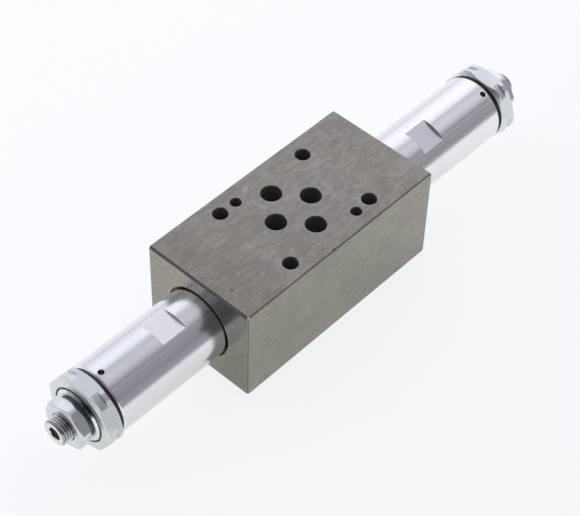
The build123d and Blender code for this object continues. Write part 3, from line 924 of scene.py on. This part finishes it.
edges = use_group(tree, edge_wear, Radius=0.0002, Low=0.02, High=0.2)
plate = tint(tree, plate, edges.outputs["Mask"], rubbed_zinc, rubbed_share)
join(tree, plate, shader.inputs["Base Color"])
clouded = between(tree, stains, *tube_dullness)
lined = between(tree, lines.outputs["Height"], *line_dullness)
gloss = math_node(tree, "ADD", clouded, lined)
gloss = math_node(tree, "ADD", gloss, multiply(tree, on_flat, flat_dullness))
join(tree, gloss, shader.inputs["Roughness"])
edge_normal = edges.outputs["Normal"]
tube_relief = bump_from(tree, lines.outputs["Height"], tube_relief_strength, line_depth, edge_normal)
join(tree, tube_relief, shader.inputs["Normal"])
print("plated tube ready")

# %% [markdown]
# ## Plated and bare small parts
# Caps, lock nuts and washers have the same zinc over milled or drawn faces, a little duller and
# slightly blue-green, with bright rubbed edges. Where two of them meet, a mask of the radius draws a
# dark line of painted shade and some dirt on the faces, between an inner and an outer radius. The
# washers' bevels are glossier than their faces, from a given radius outwards.


# %% Small part finish
mask_edge = 0.00005
# The dark line between two radii is painted shade with some dirt.
shade_and_dirt_edge = 0.00008
shade_and_dirt_colour = (0.07, 0.08, 0.078)
lamp_white, lamp_share = (0.97, 0.98, 1.0), 0.3
lamp_reach = 0.09, 0.105
stained, stained_share = 0.84, 0.4
speckled, speckled_share = 0.6, 0.16
worn_share = 0.6
stain_dullness = 0.1
bevel_gloss = 0.45


def shade(colour, level):
    return tuple(level * part for part in colour)


def make_small_part(
    name, colour, worn, roughness, relief, shade_and_dirt_from=0.0, shade_and_dirt_to=0.0, shade_and_dirt_share=0.9, gloss_from=1.0
):
    """Bright finish of a milled or turned small part, with painted shade and dirt between two radii."""
    material, tree, shader = start_material(name, colour, Metallic=1.0)
    place = object_place(tree)
    turned = use_group(tree, turned_place)
    along, radius = turned.outputs["Along"], turned.outputs["Radius"]
    stains = mask_from(tree, clouding, place, Scale=160.0, Detail=5.0, Low=0.3, High=0.75)
    plate = tint(tree, colour, stains, shade(colour, stained), stained_share)
    speckle = mask_from(tree, clouding, place, Scale=1100.0, Detail=3.0, Low=0.4, High=0.7)
    plate = tint(tree, plate, speckle, shade(colour, speckled), speckled_share)
    edges = use_group(tree, edge_wear, Radius=0.00018, Low=0.02, High=0.18)
    plate = tint(tree, plate, edges.outputs["Mask"], worn, worn_share)
    plate = tint(tree, plate, smooth_step(tree, along, *lamp_reach), lamp_white, lamp_share)
    # A dark line of painted shade and some dirt between two radii.
    past_inner = smooth_step(tree, radius, shade_and_dirt_from - mask_edge, shade_and_dirt_from + mask_edge)
    past_outer = smooth_step(tree, radius, shade_and_dirt_to - shade_and_dirt_edge, shade_and_dirt_to + shade_and_dirt_edge)
    shade_and_dirt = math_node(tree, "SUBTRACT", past_inner, past_outer)
    plate = tint(tree, plate, shade_and_dirt, shade_and_dirt_colour, shade_and_dirt_share)
    join(tree, plate, shader.inputs["Base Color"])
    dullness = between(tree, stains, roughness, roughness + stain_dullness)
    on_bevel = smooth_step(tree, radius, gloss_from - mask_edge, gloss_from + mask_edge)
    dullness = multiply(tree, dullness, between(tree, on_bevel, 1.0, bevel_gloss))
    join(tree, dullness, shader.inputs["Roughness"])
    lines = use_group(tree, lathe_lines, Feed=radius, Density=7000.0, Detail=2.0)
    lined = bump_from(tree, lines.outputs["Height"], relief, line_depth, edges.outputs["Normal"])
    join(tree, lined, shader.inputs["Normal"])
    return material


print("small part finish ready")

# %% [markdown]
# The hexagons, nuts and washers are plated. Threads, springs, seats and poppets are bare steel:
# each has its own grey, and the harder pieces are darker.

# %% Small part materials
bright_zinc = (0.93, 0.95, 0.97)
plated_hexagon = make_small_part(
    "plated_hexagon", (0.79, 0.83, 0.84), bright_zinc, 0.30, 0.2, shade_and_dirt_from=0.0104, shade_and_dirt_to=0.0108
)
plated_nut = make_small_part(
    "plated_nut", (0.76, 0.79, 0.81), bright_zinc, 0.27, 0.1, shade_and_dirt_from=0.0049, shade_and_dirt_to=0.0053
)
plated_washer = make_small_part(
    "plated_washer",
    (0.82, 0.85, 0.85),
    bright_zinc,
    0.28,
    0.3,
    shade_and_dirt_from=0.0100,
    shade_and_dirt_to=0.0103,
    gloss_from=0.0093,
)
# On the threaded spindles the dark band between the two radii lies in the thread roots: painted shade in the
# grooves, with some dirt.
threaded_steel = make_small_part(
    "threaded_steel",
    (0.82, 0.83, 0.83),
    (0.9, 0.91, 0.92),
    0.16,
    0.05,
    shade_and_dirt_from=0.0042,
    shade_and_dirt_to=0.0047,
    shade_and_dirt_share=0.6,
)
turned_steel = make_small_part("turned_steel", (0.60, 0.60, 0.60), (0.8, 0.8, 0.8), 0.22, 0.3)
hardened_steel = make_small_part("hardened_steel", (0.48, 0.48, 0.49), (0.7, 0.7, 0.71), 0.2, 0.3)
spring_steel = make_small_part("spring_steel", (0.28, 0.27, 0.27), (0.5, 0.49, 0.48), 0.35, 0.0)
print("plated and bare steels ready")

# %% [markdown]
# ## Rubber
# The seals are black nitrile rubber: not quite black, soft in its gloss and a little dusty.

# %% Rubber
clean_rubber, dusty_rubber = (0.016, 0.016, 0.018), (0.05, 0.05, 0.052)
rubber_dullness = 0.42, 0.6

seal_rubber, tree, shader = start_material("seal_rubber", (0.02, 0.02, 0.022))
place = object_place(tree)
dust = mask_from(tree, clouding, place, Scale=500.0, Detail=4.0, Low=0.45, High=0.75)
rubber = mix_colour(tree, dust, clean_rubber, dusty_rubber)
join(tree, rubber, shader.inputs["Base Color"])
join(tree, between(tree, dust, *rubber_dullness), shader.inputs["Roughness"])
join(tree, bump_from(tree, dust, 0.3, 0.00001), shader.inputs["Normal"])
print("rubber ready")

# %% [markdown]
# The ring under each lock nut is harder and glossier than the O-rings, and mirrors the studio in
# grey and green where it curves.

# %% Gland ring
gland_dark, gland_light = (0.08, 0.09, 0.088), (0.16, 0.18, 0.17)
gland_dullness = 0.18, 0.32

gland_ring, tree, shader = start_material("gland_ring", (0.10, 0.115, 0.11), Metallic=0.7)
place = object_place(tree)
smears = mask_from(tree, clouding, place, Scale=260.0, Detail=4.0, Low=0.35, High=0.7)
gland = mix_colour(tree, smears, gland_dark, gland_light)
join(tree, gland, shader.inputs["Base Color"])
join(tree, between(tree, smears, *gland_dullness), shader.inputs["Roughness"])
print("gland ring ready")

# %% [markdown]
# ## Dressing the CAD pieces
# A CAD piece whose shape is right keeps it and gets its finish in its own material slots. The
# name without the end's letter says what the piece is, and every piece that isn't listed is a
# rubber seal.

# %% Finishes by piece
finishes = {
    "valve_block": block_steel,
    "housing": plated_tube,
    "end_cap": plated_hexagon,
    "lock_nut": plated_nut,
    "face_washer": plated_washer,
    "spindle": turned_steel,
    "spring_plate": turned_steel,
    "seat": hardened_steel,
    "poppet": hardened_steel,
    "spring": spring_steel,
    "nut_seal": gland_ring,
}
for name, piece in cad_nodes.items():
    kind = name if name in finishes else name.rsplit("_", 1)[0]
    finish = finishes.get(kind, seal_rubber)
    if not piece.material_slots:
        piece.data.materials.append(finish)
    for slot in piece.material_slots:
        slot.material = finish
print("dressed", len(cad_nodes), "pieces")

# %% [markdown]
# ## Threaded spindles
# The adjusting spindle's thread stands out of the lock nut, where four of its ridges show. The
# CAD piece is a plain rod, so a real thread takes its place. A screw thread is one profile
# carried along a helix: rows of points that all climb together by one pitch a turn, with the
# rows past the ends folded flat on to the end faces and then merged. Each pair in the profile is
# a share of the pitch and how deep the thread is cut there.

# %% Thread sizes
thread_pitch = 0.001
thread_depth = 0.00055
spindle_radius = 0.005
end_chamfer = 0.0006
turn_steps = 72
thread_profile = [(0.0, 1.0), (0.09, 1.0), (0.25, 0.5), (0.41, 0.0), (0.53, 0.0), (0.69, 0.5), (0.85, 1.0)]
spare_turns = 2
print("thread pitch and depth in mm:", 1000 * thread_pitch, round(1000 * thread_depth, 2))

# %% [markdown]
# The radius along the rod is the least of the thread's own radius and the chamfer's, so the
# thread runs out into the chamfer as a die-cut one does. A ring holds one distance along the
# axis and one radius for each step of a turn.


# %% Thread rings
def thread_rows(length):
    """(distance, cut) rows along the rod for a point on the helix's start line."""
    rows = []
    for turn_number in range(-spare_turns, int(length / thread_pitch) + spare_turns):
        for share, cut in thread_profile:
            rows.append(((turn_number + share) * thread_pitch, cut))
    return rows


def rod_radius(distance, cut, length):
    """Radius at a distance from the thread's inner end, chamfered at both ends."""
    chamfered = spindle_radius - end_chamfer + min(distance, length - distance)
    return min(spindle_radius - cut * thread_depth, chamfered)


def thread_rings(thread_start, length, way):
    """Rings that climb by one pitch in a turn, kept between the thread's two ends."""
    rings = []
    for row_place, cut in thread_rows(length):
        ring = []
        for step in range(turn_steps):
            climb = way * thread_pitch * step / turn_steps
            distance = min(max(row_place + climb, 0.0), length)
            ring.append((thread_start + distance, rod_radius(distance, cut, length)))
        rings.append(ring)
    return rings


print("rows of points in 10 mm of thread:", len(thread_rows(0.010)))

# %% [markdown]
# The inner tip is plain and rounded where it presses on the spring plate. The outer face has the
# hexagon socket for the adjusting key, with a broken edge.

# %% Tip and socket rings
tip_radius = 0.0035
tip_length = 0.0035
tip_rounding = 0.0012
tip_arcs = 4
socket_half_width = 0.0023
socket_depth = 0.005
socket_mouth = 0.0026
socket_cone = 0.0008


def tip_rings(tip):
    """Rings over the rounded tip, from its end face outwards, and where the thread begins."""
    rings = []
    for arc in range(tip_arcs, -1, -1):
        slope = radians(90 / tip_arcs * arc)
        distance = tip + tip_rounding * (1 - sin(slope))
        rings.append([(distance, tip_radius - tip_rounding * (1 - cos(slope)))] * turn_steps)
    rings.append([(tip + tip_length, tip_radius)] * turn_steps)
    return rings


def socket_rings(outer_end):
    """Rings at the socket's mouth, under its broken edge and at its bottom; step 0 is a corner."""
    hexagon = []
    for step in range(turn_steps):
        off_flat = (2 * pi * step / turn_steps) % (pi / 3) - pi / 6
        hexagon.append(socket_half_width / cos(off_flat))
    return [
        [(outer_end, max(socket_mouth, corner)) for corner in hexagon],
        [(outer_end - max(0.0, socket_mouth - corner), corner) for corner in hexagon],
        [(outer_end - socket_depth, corner) for corner in hexagon],
    ]


print("socket across flats in mm:", round(2000 * socket_half_width, 2))

# %% [markdown]
# Rings become vertices, neighbours are joined by quads, and a fan of triangles closes each end.
# Merging the doubled points removes the folded rows, and edges that turn sharply stay sharp.


# %% Spindle piece
merge_distance = 2e-6
sharp_turn = radians(24)


def place_ring(shape, ring, way, corner_angle):
    """Vertices for one ring, the first of them at the socket corner's angle."""
    made = []
    for step, (distance, radius) in enumerate(ring):
        angle = corner_angle + 2 * pi * step / turn_steps
        position = (way * distance, radius * cos(angle), axis_height + radius * sin(angle))
        made.append(shape.verts.new(position))
    return made


def join_rings(shape, rings, tip_centre, socket_floor):
    """Quads between neighbouring rings, and a fan of triangles at each end."""
    for step in range(turn_steps):
        after = (step + 1) % turn_steps
        shape.faces.new((tip_centre, rings[0][after], rings[0][step]))
        for first, second in zip(rings, rings[1:]):
            shape.faces.new((first[step], first[after], second[after], second[step]))
        shape.faces.new((rings[-1][step], rings[-1][after], socket_floor))


def make_spindle_piece(name, way, tip, outer_end, corner_angle):
    """Rod with a helical thread, a rounded tip, and a hexagon socket in its outer face."""
    shape = bmesh.new()
    thread_start = tip + tip_length
    plan = tip_rings(tip)
    plan += thread_rings(thread_start, outer_end - thread_start, way)
    plan += socket_rings(outer_end)
    rings = [place_ring(shape, ring, way, corner_angle) for ring in plan]
    tip_centre = shape.verts.new((way * tip, 0, axis_height))
    floor_end = outer_end - socket_depth - socket_cone
    socket_floor = shape.verts.new((way * floor_end, 0, axis_height))
    join_rings(shape, rings, tip_centre, socket_floor)
    bmesh.ops.remove_doubles(shape, verts=shape.verts, dist=merge_distance)
    bmesh.ops.recalc_face_normals(shape, faces=shape.faces)
    for surface in shape.faces:
        surface.smooth = True
    for edge in shape.edges:
        if len(edge.link_faces) == 2 and edge.calc_face_angle(0.0) > sharp_turn:
            edge.smooth = False
    mesh = bpy.data.meshes.new(name)
    shape.to_mesh(mesh)
    shape.free()
    return add_object(name, mesh)


print("edges stay sharp above", round(degrees(sharp_turn)), "degrees")

# %% [markdown]
# Each spindle takes its length from the CAD piece that it replaces, and rides on the body that
# turns. The socket's corners stand at the angles seen in the photograph.

# %% Threaded spindles
ends = (("a", 1), ("b", -1))
socket_corner = {"a": 20.0, "b": 5.0}
for end, way in ends:
    low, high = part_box("spindle_" + end)
    inner, outer = (low.x, high.x) if way > 0 else (-high.x, -low.x)
    corner = radians(socket_corner[end]) if way > 0 else pi - radians(socket_corner[end])
    piece = make_spindle_piece("threaded_spindle_" + end, way, inner, outer, corner)
    piece.data.materials.append(threaded_steel)
    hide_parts("spindle_" + end)
    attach(piece, "adjuster_screw_" + end)
    print(piece.name, "faces:", len(piece.data.polygons), "length mm:", round(1000 * (outer - inner), 2))

# %% [markdown]
# ## Springs
# Each spring stands between a poppet and a spring plate, and both of them move. Each spring is cut
# at its middle: the front half runs from the poppet to the block and the back half from the block
# to the plate, and each half is closed where it is cut. A piece can bend between two bodies, but
# only across one joint, so each spring is cut at its middle: the front half runs from the poppet
# to the block and the back half from the block to the plate.


# %% Cut springs
weld_distance = 1e-7


def half_spring(name, whole, middle, keep_side):
    """The part of a spring on one side of a plane across the axis, closed where it is cut."""
    shape = bmesh.new()
    shape.from_mesh(whole.data)
    bmesh.ops.remove_doubles(shape, verts=shape.verts, dist=weld_distance)
    everything = shape.verts[:] + shape.edges[:] + shape.faces[:]
    plane_place, plane_way = (middle, 0, 0), (keep_side, 0, 0)
    bmesh.ops.bisect_plane(shape, geom=everything, plane_co=plane_place, plane_no=plane_way, clear_inner=True)
    rim = [edge for edge in shape.edges if edge.is_boundary]
    bmesh.ops.holes_fill(shape, edges=rim)
    bmesh.ops.recalc_face_normals(shape, faces=shape.faces)
    open_edges = sum(edge.is_boundary for edge in shape.edges)
    mesh = bpy.data.meshes.new(name)
    shape.to_mesh(mesh)
    shape.free()
    mesh.materials.append(spring_steel)
    print(name, "faces:", len(mesh.polygons), "open edges:", open_edges)
    return add_object(name, mesh)


for end, way in ends:
    spring = cad_nodes["spring_" + end]
    low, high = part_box("spring_" + end)
    poppet_side, plate_side = (low.x, high.x) if way > 0 else (high.x, low.x)
    middle = (poppet_side + plate_side) / 2
    front = half_spring("spring_front_" + end, spring, middle, -way)
    back = half_spring("spring_back_" + end, spring, middle, way)
    for half in (front, back):
        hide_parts("spring_" + end)
    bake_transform(front)
    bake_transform(back)

# %% Finish
low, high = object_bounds()
print("visual box in mm:", [round(1000 * (b - a), 2) for a, b in zip(low, high)])
